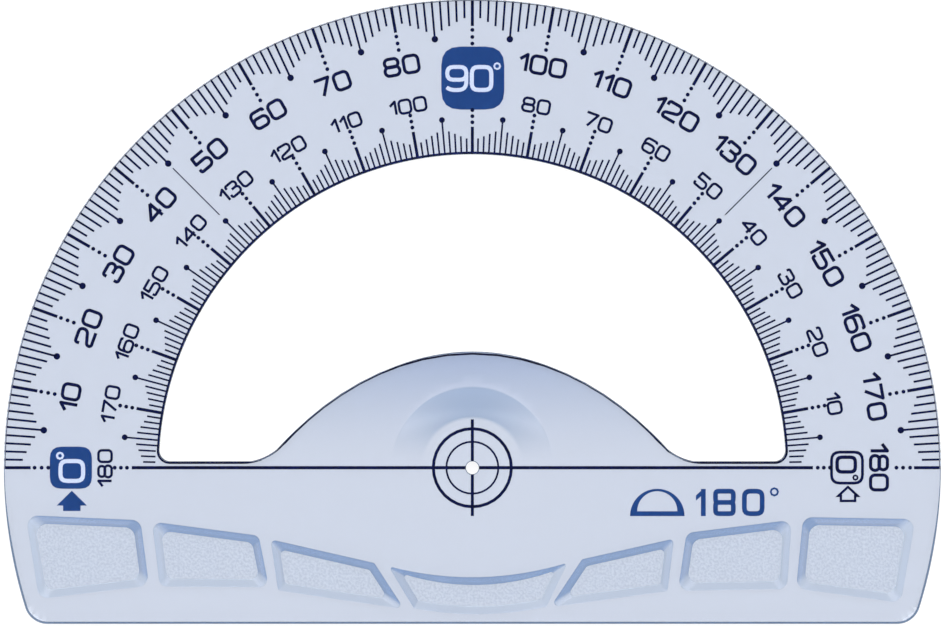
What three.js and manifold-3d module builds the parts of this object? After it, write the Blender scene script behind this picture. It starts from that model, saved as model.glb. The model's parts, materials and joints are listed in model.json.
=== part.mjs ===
// A 180 degree school protractor: one clear moulded plate with its scale printed on the underside.
// Units are millimetres. +X runs along the zero line, +Y points at the 90 degree mark, and +Z is up
// out of the upper face. The origin is under the middle of the outline, on the plane it lies on.
import * as THREE from 'three';
import { mergeVertices } from 'three/addons/utils/BufferGeometryUtils.js';
import Module from 'manifold-3d';

const wasm = await Module();
wasm.setup();

// ---- driving dimensions, measured from the pin hole unless a comment says otherwise ----
const OUTER_RADIUS = 60;
const STRIP_DEPTH = 20;          // zero line down to the straight edge
const CORNER_RADIUS = 3;         // where the curved edge meets the straight edge
const FILM = 0.03;               // thickness of the dried ink
const BODY = 1.8;                // thickness of the plate
const PIN_HOLE_RADIUS = 0.82;

const WINDOW_RADIUS = 40.25;
const WINDOW_FLOOR = 0.74;       // lower edge of the window, above the zero line
const WINDOW_FILLET = 1.4;       // in the two lower corners of the window

const HILL_HEIGHT = 14.8;        // crown of the finger rest, above the zero line
const HILL_FILLET = 6.9;         // where the finger rest runs out into the window floor
const HILL_FILLET_X = 29.5;
const HILL_SLOPE = THREE.MathUtils.degToRad(48);
const HILL_CROWN_PULL = 11;      // handles of the curve from the crown to the fillet
const HILL_FOOT_PULL = 7;
const HILL_RISE = 0.8;           // the finger rest's upper face climbs this much to its crown

const DISH_FLOOR_RADIUS = 6.4;
const DISH_LIP_RADIUS = 10.5;
const DISH_DEPTH = 0.06;         // below the plate's upper face

const GRIP_DEPTH = 0.6;
const GRIP_WALL = 1.15;          // width of a recess's sloping wall, seen from above
const GRIP_CORNER = 0.7;         // corner radius at a recess's floor

const TEN_LINE = 0.4;            // widths of the printed lines
const ZERO_LINE = 0.42;
const DIAGONAL_LINE = 0.14;
const ARC_SEGMENTS = 90;         // for each half circle of the outline
const CURVE_SEGMENTS = 10;       // for each fillet and each half of the finger rest
const FINE_SEGMENTS = 4;         // for each small curve
const DOT_SIDES = 12;

const ZERO_CENTRE_Y = -(OUTER_RADIUS - STRIP_DEPTH) / 2;

const COLOURS = {
  plate: 0xced7e8,
  navy: 0x0b1c4f,
  blue: 0x27448c,
  white: 0xf6f8fa,
};

// Each scale is a fine border along the plate's edge with its marks standing on it. A mark's tip has
// a radius that depends on how far the mark is from a ten.
const OUTER_SCALE = {
  back: 59.9,                    // the border's two sides
  front: 59.82,
  tips: [56.6, 57.6, 57.15, 56.65, 56.15, 55.12],
  line: 0.27,
  dotRadius: 0.43,
};
const INNER_SCALE = {
  back: WINDOW_RADIUS,
  front: WINDOW_RADIUS + 0.26,
  tips: [43.7, 42.2, 42.5, 42.85, 43.2, 44.72],
  line: 0.23,
  dotRadius: 0.38,
  looseStart: 40.62,             // the marks beside the window's corners stand clear of the border
};

// ---- small tools ----

function polar(radius, angle) {
  return new THREE.Vector2(radius * Math.cos(angle), radius * Math.sin(angle));
}

function extrude(shape, depth, z, curveSegments = FINE_SEGMENTS) {
  const geometry = new THREE.ExtrudeGeometry(shape, { depth, bevelEnabled: false, curveSegments });
  geometry.translate(0, 0, z);
  return geometry;
}

function toSolid(geometry) {
  const plain = geometry.clone();
  plain.deleteAttribute('normal');
  plain.deleteAttribute('uv');
  const merged = mergeVertices(plain, 1e-5);
  return new wasm.Manifold(new wasm.Mesh({
    numProp: 3,
    vertProperties: new Float32Array(merged.attributes.position.array),
    triVerts: new Uint32Array(merged.index.array),
  }));
}

function toGeometry(solid) {
  const { vertProperties, triVerts } = solid.getMesh();
  const geometry = new THREE.BufferGeometry();
  geometry.setAttribute('position', new THREE.BufferAttribute(new Float32Array(vertProperties), 3));
  geometry.setIndex(new THREE.BufferAttribute(new Uint32Array(triVerts), 1));
  geometry.computeVertexNormals();
  return geometry;
}

function join(geometries) {
  return geometries.map(toSolid).reduce((whole, next) => whole.add(next));
}

function piece(name, geometry, colour, roughness = 0.6) {
  const material = new THREE.MeshStandardMaterial({ color: colour, roughness, metalness: 0 });
  const mesh = new THREE.Mesh(geometry, material);
  mesh.name = name;
  return mesh;
}

// A closed outline through the corners, each rounded off by the same radius.
function roundedPolygon(corners, radius) {
  const shape = new THREE.Shape();
  corners.forEach((corner, i) => {
    const before = corners[(i + corners.length - 1) % corners.length];
    const after = corners[(i + 1) % corners.length];
    const start = corner.clone().add(before.clone().sub(corner).setLength(radius));
    const end = corner.clone().add(after.clone().sub(corner).setLength(radius));
    if (i === 0) shape.moveTo(start.x, start.y);
    else shape.lineTo(start.x, start.y);
    shape.quadraticCurveTo(corner.x, corner.y, end.x, end.y);
  });
  shape.closePath();
  return shape;
}

function roundedBox(centreX, centreY, width, height, radius) {
  const [w, h] = [width / 2, height / 2];
  const corners = [[-w, -h], [w, -h], [w, h], [-w, h]];
  return roundedPolygon(corners.map(([x, y]) => new THREE.Vector2(centreX + x, centreY + y)), radius);
}

function disc(x, y, radius) {
  const shape = new THREE.Shape();
  shape.absarc(x, y, radius, 0, 2 * Math.PI, false);
  return shape;
}

function ring(x, y, outer, inner) {
  const shape = disc(x, y, outer);
  shape.holes.push(disc(x, y, inner));
  return shape;
}

// A film of ink built up from quads and fans of points, and then given its thickness.
class Sheet {
  points = [];

  triangles = [];

  add(...points) {
    return points.map((point) => this.points.push(point) - 1);
  }

  fan(indices) {
    for (let i = 1; i + 1 < indices.length; i += 1) {
      this.triangles.push([indices[0], indices[i], indices[i + 1]]);
    }
  }

  // The upper and lower faces, and a wall on every edge that only one triangle uses.
  toGeometry() {
    const count = this.points.length;
    const { ShapeUtils } = THREE;
    const faces = this.triangles.map((triangle) =>
      (ShapeUtils.isClockWise(triangle.map((i) => this.points[i])) ? [...triangle].reverse() : triangle));
    const edges = new Set(faces.flatMap(([a, b, c]) => [`${a},${b}`, `${b},${c}`, `${c},${a}`]));
    const index = [];
    for (const [a, b, c] of faces) {
      index.push(a + count, b + count, c + count, c, b, a);
      for (const [from, to] of [[a, b], [b, c], [c, a]]) {
        if (edges.has(`${to},${from}`)) continue;
        index.push(from, to, to + count, from, to + count, from + count);
      }
    }
    const positions = [0, FILM].flatMap((z) => this.points.flatMap(({ x, y }) => [x, y, z]));
    const geometry = new THREE.BufferGeometry();
    geometry.setAttribute('position', new THREE.Float32BufferAttribute(positions, 3));
    geometry.setIndex(index);
    return geometry;
  }
}

// A straight line of ink between two points.
function bar(from, to, width) {
  const side = to.clone().sub(from).rotateAround(new THREE.Vector2(), Math.PI / 2).setLength(width / 2);
  return new THREE.Shape([
    from.clone().sub(side),
    to.clone().sub(side),
    to.clone().add(side),
    from.clone().add(side),
  ]);
}

function filmSolid(shapes, segments) {
  return join(shapes.map((shape) => extrude(shape, FILM, 0, segments)));
}

function film(name, shapes, colour, segments) {
  return piece(name, toGeometry(filmSolid(shapes, segments)), colour);
}

// ---- the plate ----

function plateOutline() {
  const centreRadius = OUTER_RADIUS - CORNER_RADIUS;
  const cornerY = -STRIP_DEPTH + CORNER_RADIUS;
  const cornerX = Math.sqrt(centreRadius ** 2 - cornerY ** 2);
  const turn = Math.atan2(cornerY, cornerX);
  const shape = new THREE.Shape();
  shape.absarc(0, 0, OUTER_RADIUS, turn, Math.PI - turn, false);
  shape.absarc(-cornerX, cornerY, CORNER_RADIUS, Math.PI - turn, 1.5 * Math.PI, false);
  shape.absarc(cornerX, cornerY, CORNER_RADIUS, 1.5 * Math.PI, 2 * Math.PI + turn, false);
  return shape;
}

// Angle at which the window's arc gives way to the fillet in its corner.
function windowTurn() {
  return Math.asin((WINDOW_FLOOR + WINDOW_FILLET) / (WINDOW_RADIUS - WINDOW_FILLET));
}

// The half-moon window, whose floor swells up into the finger rest. Offset moves it into the plate.
function windowPoints(offset = 0) {
  const filletRadius = WINDOW_FILLET + offset;
  const filletY = WINDOW_FLOOR + WINDOW_FILLET;
  const turn = windowTurn();
  const filletX = filletY / Math.tan(turn);
  const hillRadius = HILL_FILLET + offset;
  const hillY = WINDOW_FLOOR + HILL_FILLET;
  const hillStart = Math.PI + (Math.PI / 2 - HILL_SLOPE);
  const foot = new THREE.Vector2(
    HILL_FILLET_X + hillRadius * Math.cos(hillStart),
    hillY + hillRadius * Math.sin(hillStart),
  );
  const crown = HILL_HEIGHT - offset;
  const pull = polar(HILL_FOOT_PULL, Math.PI - HILL_SLOPE);
  const path = new THREE.Path();
  path.absarc(0, 0, WINDOW_RADIUS + offset, turn, Math.PI - turn, false);
  path.absarc(-filletX, filletY, filletRadius, Math.PI - turn, 1.5 * Math.PI, false);
  path.absarc(-HILL_FILLET_X, hillY, hillRadius, 1.5 * Math.PI, 3 * Math.PI - hillStart, false);
  path.bezierCurveTo(-foot.x - pull.x, foot.y + pull.y, -HILL_CROWN_PULL, crown, 0, crown);
  path.bezierCurveTo(HILL_CROWN_PULL, crown, foot.x + pull.x, foot.y + pull.y, foot.x, foot.y);
  path.absarc(HILL_FILLET_X, hillY, hillRadius, hillStart, 1.5 * Math.PI, false);
  path.absarc(filletX, filletY, filletRadius, 1.5 * Math.PI, 2 * Math.PI + turn, false);
  return samplePath(path);
}

// Long arcs get ARC_SEGMENTS, other curves CURVE_SEGMENTS, and straight lines one.
function samplePath(path) {
  const points = [];
  for (const curve of path.curves) {
    const long = curve.getLength() > OUTER_RADIUS;
    const count = long ? ARC_SEGMENTS : CURVE_SEGMENTS;
    curve.getPoints(curve.isLineCurve ? 1 : count).forEach((point) => {
      const last = points[points.length - 1];
      if (!last || last.distanceTo(point) > 1e-4) points.push(point);
    });
  }
  if (points[0].distanceTo(points[points.length - 1]) < 1e-4) points.pop();
  return points;
}

// Corners of the seven grip recesses at the upper face: top left, top right, bottom right, bottom left.
const GRIP_CORNERS = [
  [[-57.3, -6.0], [-42.3, -6.7], [-41.3, -15.1], [-55.4, -16.9]],
  [[-40.9, -7.2], [-27.1, -8.9], [-26.1, -15.2], [-40.1, -15.4]],
  [[-25.8, -9.4], [-12.4, -12.2], [-8.7, -17.7], [-24.4, -16.3]],
  [[13.9, -11.7], [26.0, -9.1], [24.3, -16.0], [10.2, -17.3]],
  [[27.5, -8.2], [40.6, -6.7], [40.9, -14.9], [26.6, -15.6]],
  [[42.2, -6.6], [56.9, -6.7], [54.9, -17.4], [41.6, -15.6]],
];
const MIDDLE_GRIP = {
  corners: [[-10.6, -12.6], [12.3, -12.1], [9.2, -17.9], [-7.5, -18.2]],
  topSag: 2.9,
  bottomSag: 1.7,
};

// Moves the corners of a recess in from the upper face to its floor.
function shrink(corners, distance) {
  return corners.map((corner, i) => {
    const before = corners[(i + corners.length - 1) % corners.length];
    const after = corners[(i + 1) % corners.length];
    const inward = corner.clone().sub(before).normalize();
    const outward = after.clone().sub(corner).normalize();
    const turn = inward.cross(outward);
    return corner.clone().add(outward.sub(inward).multiplyScalar(distance / Math.abs(turn)));
  });
}

function toVectors(corners) {
  return corners.map(([x, y]) => new THREE.Vector2(x, y));
}

function gripFloor(corners) {
  return roundedPolygon(shrink(toVectors(corners), GRIP_WALL), GRIP_CORNER);
}

function middleGripFloor() {
  const { corners, topSag, bottomSag } = MIDDLE_GRIP;
  const [topLeft, topRight, bottomRight, bottomLeft] = shrink(toVectors(corners), GRIP_WALL);
  const shape = new THREE.Shape();
  shape.moveTo(topLeft.x, topLeft.y);
  shape.quadraticCurveTo(0, topLeft.y - topSag, topRight.x, topRight.y);
  shape.lineTo(bottomRight.x, bottomRight.y);
  shape.quadraticCurveTo(0, bottomLeft.y - bottomSag, bottomLeft.x, bottomLeft.y);
  shape.closePath();
  return shape;
}

// A cutter with the recess's floor as its lower end, sloping out to the full recess at the face.
function gripCutter(floorShape, faceZ) {
  const geometry = new THREE.ExtrudeGeometry(floorShape, {
    depth: GRIP_DEPTH,
    bevelEnabled: true,
    bevelThickness: GRIP_DEPTH,
    bevelSize: GRIP_WALL,
    bevelSegments: 1,
    curveSegments: FINE_SEGMENTS,
  });
  geometry.translate(0, 0, faceZ);
  return toSolid(geometry);
}

// The round dish that keeps the pin hole's target low, open at the top.
function dishCutter(faceZ) {
  const floorZ = faceZ - DISH_DEPTH;
  const lipZ = faceZ + HILL_RISE * DISH_LIP_RADIUS / HILL_HEIGHT;
  const slope = (DISH_LIP_RADIUS - DISH_FLOOR_RADIUS) / (lipZ - floorZ);
  const topZ = faceZ + 2 * HILL_RISE;
  const profile = [
    new THREE.Vector2(0, floorZ),
    new THREE.Vector2(DISH_FLOOR_RADIUS, floorZ),
    new THREE.Vector2(DISH_FLOOR_RADIUS + slope * (topZ - floorZ), topZ),
    new THREE.Vector2(0, topZ),
  ];
  const geometry = new THREE.LatheGeometry(profile, 64);
  geometry.rotateX(Math.PI / 2);
  return toSolid(geometry);
}

// A wedge that climbs from the zero line to the crown of the finger rest.
function hillWedge(faceZ) {
  const side = new THREE.Shape([
    new THREE.Vector2(0, faceZ - BODY / 2),
    new THREE.Vector2(HILL_HEIGHT, faceZ - BODY / 2),
    new THREE.Vector2(HILL_HEIGHT, faceZ + HILL_RISE),
    new THREE.Vector2(0, faceZ),
  ]);
  const geometry = new THREE.ExtrudeGeometry(side, { depth: 2 * HILL_FILLET_X, bevelEnabled: false });
  const axes = new THREE.Matrix4().makeBasis(
    new THREE.Vector3(0, 1, 0),
    new THREE.Vector3(0, 0, 1),
    new THREE.Vector3(1, 0, 0),
  );
  geometry.applyMatrix4(axes);
  geometry.translate(-HILL_FILLET_X, 0, 0);
  return toSolid(geometry);
}

function makePlate() {
  const faceZ = FILM + BODY;
  const outline = new THREE.Shape(samplePath(plateOutline()));
  outline.holes.push(new THREE.Path(windowPoints()));
  outline.holes.push(new THREE.Path(disc(0, 0, PIN_HOLE_RADIUS).getPoints(6)));
  const slab = toSolid(extrude(outline, BODY, FILM));
  const tall = toSolid(extrude(outline, BODY + HILL_RISE, FILM));
  let plate = slab.add(tall.intersect(hillWedge(faceZ)));
  plate = plate.subtract(dishCutter(faceZ));
  const floors = GRIP_CORNERS.map(gripFloor);
  floors.push(middleGripFloor());
  for (const floor of floors) plate = plate.subtract(gripCutter(floor, faceZ));
  return piece('plate', toGeometry(plate), COLOURS.plate, 0.15);
}

// ---- the printed scale ----

function stepFromTen(degree) {
  return Math.abs(degree - 10 * Math.round(degree / 10));
}

function markSides(radius, angle, width) {
  const side = polar(width / 2, angle + Math.PI / 2);
  const middle = polar(radius, angle);
  return [middle.clone().sub(side), middle.add(side)];
}

// The round head of a five degree mark, from one side of its line right round to the other.
function headPoints(scale, angle, towards) {
  const { dotRadius, line, tips } = scale;
  const neck = Math.asin(line / 2 / dotRadius);
  const centre = polar(tips[5], angle);
  return Array.from({ length: DOT_SIDES + 1 }, (_, i) => {
    const turn = neck + (2 * Math.PI - 2 * neck) * i / DOT_SIDES;
    return polar(dotRadius, angle + (towards > 0 ? Math.PI : 0) + turn).add(centre);
  });
}

// A border between two angles, with a mark at each whole degree from first to last.
function scaleSheet(scale, first, last, startAngle, endAngle) {
  const sheet = new Sheet();
  const { back, front, tips, line } = scale;
  const towards = Math.sign(tips[0] - front);
  let station = startAngle === undefined ? null : sheet.add(polar(back, startAngle), polar(front, startAngle));
  const reach = (next) => {
    if (station) sheet.fan([station[0], next[0], next[1], station[1]]);
    station = next;
  };
  for (let degree = first; degree <= last; degree += 1) {
    const angle = THREE.MathUtils.degToRad(degree);
    const step = stepFromTen(degree);
    const width = step === 0 ? TEN_LINE : line;
    const [backRight, backLeft] = markSides(back, angle, width);
    const [frontRight, frontLeft] = markSides(front, angle, width);
    const right = sheet.add(backRight, frontRight);
    reach(right);
    const left = sheet.add(backLeft, frontLeft);
    reach(left);
    if (step === 5) {
      const head = sheet.add(...headPoints(scale, angle, towards));
      const [neckRight, neckLeft] = towards > 0 ? [head[0], head[DOT_SIDES]] : [head[DOT_SIDES], head[0]];
      sheet.fan([right[1], neckRight, neckLeft, left[1]]);
      sheet.fan(head);
    } else {
      const [tipRight, tipLeft] = sheet.add(...markSides(tips[step], angle, width));
      sheet.fan([right[1], tipRight, tipLeft, left[1]]);
    }
  }
  if (endAngle !== undefined) reach(sheet.add(polar(back, endAngle), polar(front, endAngle)));
  return sheet;
}

function makeOuterScale() {
  return piece('outer_degree_scale', scaleSheet(OUTER_SCALE, 0, 180).toGeometry(), COLOURS.navy);
}

// The marks at 4 to 176 degrees stand on the round part of the window's border.
function makeInnerScale() {
  const turn = windowTurn();
  const sheet = scaleSheet(INNER_SCALE, 4, 176, turn, Math.PI - turn);
  const meshes = [piece('inner_degree_scale', sheet.toGeometry(), COLOURS.navy)];
  for (const degree of [1, 2, 3, 177, 178, 179]) {
    const angle = THREE.MathUtils.degToRad(degree);
    const tip = polar(INNER_SCALE.tips[stepFromTen(degree)], angle);
    const mark = bar(polar(INNER_SCALE.looseStart, angle), tip, INNER_SCALE.line);
    meshes.push(film(`inner_mark_${degree}`, [mark], COLOURS.navy));
  }
  return meshes;
}

// The rest of the window's border: round both corners and over the finger rest.
function makeWindowBorder() {
  const sheet = new Sheet();
  const width = INNER_SCALE.front - INNER_SCALE.back;
  const edge = windowPoints().slice(ARC_SEGMENTS);
  const outer = windowPoints(width).slice(ARC_SEGMENTS);
  edge.push(windowPoints()[0]);
  outer.push(windowPoints(width)[0]);
  const stations = edge.map((point, i) => sheet.add(point, outer[i]));
  for (let i = 1; i < stations.length; i += 1) {
    sheet.fan([stations[i - 1][0], stations[i][0], stations[i][1], stations[i - 1][1]]);
  }
  return piece('window_border', sheet.toGeometry(), COLOURS.navy);
}

const TARGET = { outer: 5, outerLine: 0.4, inner: 3.33, innerLine: 0.25, reach: 6.2, upright: 0.4 };
const ZERO_LINE_REACH = 43.65;
const PIN_HOLE_CLEARANCE = 0.05;

// The zero line, the two target rings and the upright line cross each other and are one film.
function makeZeroLine() {
  const { outer, outerLine, inner, innerLine, reach, upright } = TARGET;
  const start = PIN_HOLE_RADIUS + PIN_HOLE_CLEARANCE;
  const shapes = [
    ring(0, 0, outer + outerLine / 2, outer - outerLine / 2),
    ring(0, 0, inner + innerLine / 2, inner - innerLine / 2),
  ];
  for (const sign of [-1, 1]) {
    const [near, far] = [new THREE.Vector2(sign * start, 0), new THREE.Vector2(sign * ZERO_LINE_REACH, 0)];
    shapes.push(bar(near, far, ZERO_LINE));
    shapes.push(bar(new THREE.Vector2(0, sign * start), new THREE.Vector2(0, sign * reach), upright));
  }
  return film('zero_line_and_target', shapes, COLOURS.navy, 16);
}

const DIAGONAL = { inner: 45.8, outer: 54.3 };

function makeDiagonal(name, degree) {
  const angle = THREE.MathUtils.degToRad(degree);
  const [near, far] = [polar(DIAGONAL.inner, angle), polar(DIAGONAL.outer, angle)];
  return film(name, [bar(near, far, DIAGONAL_LINE)], COLOURS.navy);
}

// ---- large characters: each is drawn in a box of width 1 by height 1 and scaled to size ----

function openStroke(path, width) {
  const points = samplePath(path);
  const [left, right] = [[], []];
  points.forEach((point, i) => {
    const before = points[Math.max(i - 1, 0)];
    const after = points[Math.min(i + 1, points.length - 1)];
    const side = after.clone().sub(before).rotateAround(new THREE.Vector2(), Math.PI / 2).setLength(width / 2);
    left.push(point.clone().add(side));
    right.unshift(point.clone().sub(side));
  });
  return new THREE.Shape([...left, ...right]);
}

function boxRing(x, y, width, height, radius, line) {
  const shape = roundedBox(x, y, width, height, radius);
  shape.holes.push(roundedBox(x, y, width - 2 * line, height - 2 * line, Math.max(radius - line, 0.1)));
  return shape;
}

function zeroShapes({ x, y, width, height, line }) {
  return [boxRing(x, y, width, height, 0.36 * Math.min(width, height), line)];
}

function eightShapes({ x, y, width, height, line }) {
  const loop = (height + line) / 2;
  const shift = (height - loop) / 2;
  const radius = 0.36 * Math.min(width, loop);
  return [-1, 1].map((sign) => boxRing(x, y + sign * shift, width, loop, radius, line));
}

function nineShapes({ x, y, width, height, line }) {
  const loop = 0.62 * height;
  const radius = 0.36 * width;
  const right = x + (width - line) / 2;
  const bottom = y - (height - line) / 2;
  const tail = new THREE.Path();
  tail.moveTo(right, y + height / 4);
  tail.lineTo(right, bottom + radius);
  tail.quadraticCurveTo(right, bottom, right - radius, bottom);
  tail.lineTo(x - 0.1 * width, bottom);
  tail.quadraticCurveTo(x - 0.28 * width, bottom, x - 0.44 * width, bottom + 0.1 * height);
  return [boxRing(x, y + (height - loop) / 2, width, loop, radius, line), openStroke(tail, line)];
}

function oneShapes({ x, y, width, height, line }) {
  const top = y + height / 2;
  const stem = bar(new THREE.Vector2(x, y - height / 2), new THREE.Vector2(x, top - 0.02), line);
  const flag = new THREE.Shape([
    new THREE.Vector2(x, top),
    new THREE.Vector2(x - width, top - 0.9 * width),
    new THREE.Vector2(x - width, top - 0.9 * width - 1.1 * line),
    new THREE.Vector2(x, top - 1.1 * line),
  ]);
  return [stem, flag];
}

function degreeShapes({ x, y, radius, line }) {
  return [ring(x, y, radius, radius - line)];
}

const ARROWS = {
  left: { x: -51.33, top: -2.95, head: 1.9, halfWidth: 1.94, stem: 1.12, height: 2.6 },
  right: { x: 48.14, top: -2.25, head: 1.52, halfWidth: 1.64, stem: 1.07, height: 2.17 },
};
const ARROW_LINE = 0.32;

// An arrow head on a short stem. The stem starts inside the head, so the two join.
function arrowShapes({ x, top, head, halfWidth, stem, height }) {
  const triangle = [[0, top], [-halfWidth, top - head], [halfWidth, top - head]];
  const stemTop = top - head / 2;
  const side = Math.min(stem, halfWidth / 2.2);
  const trunk = [[-side, stemTop], [-stem, top - head], [-stem, top - height],
    [stem, top - height], [stem, top - head], [side, stemTop]];
  return [triangle, trunk].map((points) => new THREE.Shape(toVectors(points.map(([dx, y]) => [x + dx, y]))));
}

function makeArrow(name, arrow, colour) {
  return film(name, arrowShapes(arrow), colour);
}

// The right arrow is only an outline of even width.
function makeOpenArrow(name, arrow, colour) {
  const { top, head, halfWidth, stem, height } = arrow;
  const slope = Math.hypot(head, halfWidth);
  const tipInset = ARROW_LINE * slope / halfWidth;
  const innerHead = head - tipInset - ARROW_LINE;
  const inner = {
    x: arrow.x,
    top: top - tipInset,
    head: innerHead,
    halfWidth: innerHead * halfWidth / head,
    stem: stem - ARROW_LINE,
    height: height - tipInset - ARROW_LINE,
  };
  const opening = join(arrowShapes(inner).map((shape) => extrude(shape, 3 * FILM, -FILM)));
  return piece(name, toGeometry(filmSolid(arrowShapes(arrow)).subtract(opening)), colour);
}

const BADGES = {
  ninety: { x: 0.06, y: 49.93, size: 8.08, radius: 2.42 },
  zeroLeft: { x: -51.45, y: 0, size: 5.4, radius: 1.5 },
  zeroRight: { x: 48.01, y: 0.01, size: 4.34, radius: 1.25, line: 0.37 },
};

// Blue panels carry their characters in pockets half as deep as the film, filled with white ink.
function makePanel(name, badge, characters) {
  const { x, y, size, radius } = badge;
  let panel = filmSolid([roundedBox(x, y, size, size, radius)]);
  const meshes = [];
  for (const [characterName, shapes] of Object.entries(characters)) {
    const solid = join(shapes.map((shape) => extrude(shape, FILM / 2, FILM / 2)));
    const pocket = join(shapes.map((shape) => extrude(shape, FILM, FILM / 2)));
    panel = panel.subtract(pocket);
    meshes.push(piece(characterName, toGeometry(solid), COLOURS.white));
  }
  meshes.unshift(piece(name, toGeometry(panel), COLOURS.blue));
  return meshes;
}

function makeNinetyPanel() {
  return makePanel('ninety_panel', BADGES.ninety, {
    ninety_nine: nineShapes({ x: -2.0, y: 49.88, width: 2.95, height: 3.46, line: 0.5 }),
    ninety_zero: zeroShapes({ x: 1.18, y: 49.88, width: 3.02, height: 3.46, line: 0.52 }),
    ninety_degree_sign: degreeShapes({ x: 3.18, y: 51.46, radius: 0.5, line: 0.24 }),
  });
}

// The zero signs are turned to be read with the scale, so their tops face the outer edge.
function makeLeftZeroPanel() {
  return makePanel('left_zero_panel', BADGES.zeroLeft, {
    left_zero: zeroShapes({ x: -51.33, y: -0.42, width: 3.42, height: 3.06, line: 0.52 }),
    left_zero_degree_sign: degreeShapes({ x: -52.84, y: 1.53, radius: 0.53, line: 0.28 }),
  });
}

function makeRightZeroFrame() {
  const { x, y, size, radius, line } = BADGES.zeroRight;
  const zero = zeroShapes({ x: 47.91, y: 0.4, width: 2.79, height: 2.34, line: 0.46 });
  return [
    film('right_zero_frame', [boxRing(x, y, size, size, radius, line)], COLOURS.navy),
    film('right_zero', zero, COLOURS.navy),
    film('right_zero_degree_sign', degreeShapes({ x: 49.09, y: -1.27, radius: 0.41, line: 0.25 }), COLOURS.navy),
  ];
}

// A plain picture of a half circle and its range, 180 degrees, under the zero line.
const LEGEND = { x: 23.7, base: -6.2, radius: 3.5, digitHeight: 3.5, line: 0.62 };

function makeLegend() {
  const { x, base, radius, digitHeight, line } = LEGEND;
  const half = new THREE.Shape();
  half.absarc(x, base, radius, 0, Math.PI, false);
  half.closePath();
  const gap = new THREE.Path();
  gap.absarc(x, base + line, radius - 1.5 * line, 0, Math.PI, false);
  gap.closePath();
  half.holes.push(gap);
  const y = base + digitHeight / 2;
  const digit = { y, height: digitHeight, line };
  return [
    film('legend_half_circle', [half], COLOURS.blue, 12),
    film('legend_one', oneShapes({ x: 29.6, width: 0.95, ...digit }), COLOURS.blue),
    film('legend_eight', eightShapes({ x: 32.3, width: 2.9, ...digit }), COLOURS.blue),
    film('legend_zero', zeroShapes({ x: 36.0, width: 2.9, ...digit }), COLOURS.blue),
    film('legend_degree_sign', degreeShapes({ x: 38.7, y: base + digitHeight - 0.4, radius: 0.6, line: 0.27 }),
      COLOURS.blue),
  ];
}

// ---- assembly ----

const protractor = new THREE.Group();
protractor.position.y = ZERO_CENTRE_Y;
protractor.add(
  makePlate(),
  makeOuterScale(),
  ...makeInnerScale(),
  makeWindowBorder(),
  makeZeroLine(),
  makeDiagonal('line_45', 45),
  makeDiagonal('line_135', 135),
  ...makeNinetyPanel(),
  ...makeLeftZeroPanel(),
  ...makeRightZeroFrame(),
  makeArrow('left_arrow', ARROWS.left, COLOURS.blue),
  makeOpenArrow('right_arrow', ARROWS.right, COLOURS.navy),
  ...makeLegend(),
);

export default protractor;
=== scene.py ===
import json
import math

import bmesh
import bpy
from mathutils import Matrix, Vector
from mathutils.geometry import delaunay_2d_cdt


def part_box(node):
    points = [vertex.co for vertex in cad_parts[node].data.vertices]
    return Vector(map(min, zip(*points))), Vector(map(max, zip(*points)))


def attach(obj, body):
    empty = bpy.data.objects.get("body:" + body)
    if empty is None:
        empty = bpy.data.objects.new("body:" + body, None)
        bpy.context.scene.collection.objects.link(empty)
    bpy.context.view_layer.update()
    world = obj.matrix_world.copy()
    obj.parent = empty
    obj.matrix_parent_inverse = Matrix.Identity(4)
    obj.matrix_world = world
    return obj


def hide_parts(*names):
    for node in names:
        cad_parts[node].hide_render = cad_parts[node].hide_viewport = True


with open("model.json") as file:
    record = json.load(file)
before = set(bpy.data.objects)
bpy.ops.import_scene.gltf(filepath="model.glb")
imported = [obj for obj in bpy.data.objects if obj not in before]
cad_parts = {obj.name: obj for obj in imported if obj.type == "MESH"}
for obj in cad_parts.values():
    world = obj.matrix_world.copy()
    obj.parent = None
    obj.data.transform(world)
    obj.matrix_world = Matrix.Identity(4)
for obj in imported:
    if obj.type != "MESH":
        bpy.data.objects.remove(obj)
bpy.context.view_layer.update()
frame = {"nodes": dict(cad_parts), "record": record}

# A clear, pale blue school protractor, seen from straight above on a white light table.
# Shapes are worked out in millimetres from the pin hole, as in the CAD source, and turned into
# metres in the shared frame by Shell.to_object().

MM = 0.001

# ---- places and sizes taken from the frame ----

plate_low, plate_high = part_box("plate")
ink_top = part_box("outer_degree_scale")[1].z / MM
STRIP_DEPTH = 20
pin_y = plate_low.y / MM + STRIP_DEPTH
outer_radius = min(plate_high.x / MM, plate_high.y / MM - pin_y)

# ---- driving dimensions, in millimetres from the pin hole ----

BODY = 1.8                        # thickness of the plate
INK_GAP = 0.002                   # between the ink and the face it is printed on
CORNER_RADIUS = 3
PIN_HOLE_RADIUS = 0.82

WINDOW_RADIUS = 40.14
WINDOW_FLOOR = 0.84
WINDOW_FILLET = 1.4
HILL_HEIGHT = 14.9                # crown of the finger rest, above the zero line
HILL_FILLET = 4.9                 # where the finger rest runs out into the window's floor
HILL_FILLET_X = 28.6
HILL_SLOPE = math.radians(48)
HILL_CROWN_PULL = 11              # handles of the curve from the crown to the fillet
HILL_FOOT_PULL = 7
HILL_RISE = 0.8
HILL_POWER = 1.35                 # the rise starts gently at the zero line
HILL_ENDS = (27, 31)              # and fades out sideways between these
HILL_RADIUS = WINDOW_RADIUS - 1   # it stays inside this radius, and the graduated ring is flat
HILL_START = 1                    # its outline is taken from this far above the zero line

DISH_FLOOR_RADIUS = 6.4
DISH_LIP_RADIUS = 10.5
DISH_DEPTH = 0.06

GRIP_DEPTH = 0.6
GRIP_WALL = 1.02                  # width of the sloping wall
GRIP_BEND = 0.1                   # share of that width in which the wall bends at each end

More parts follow.
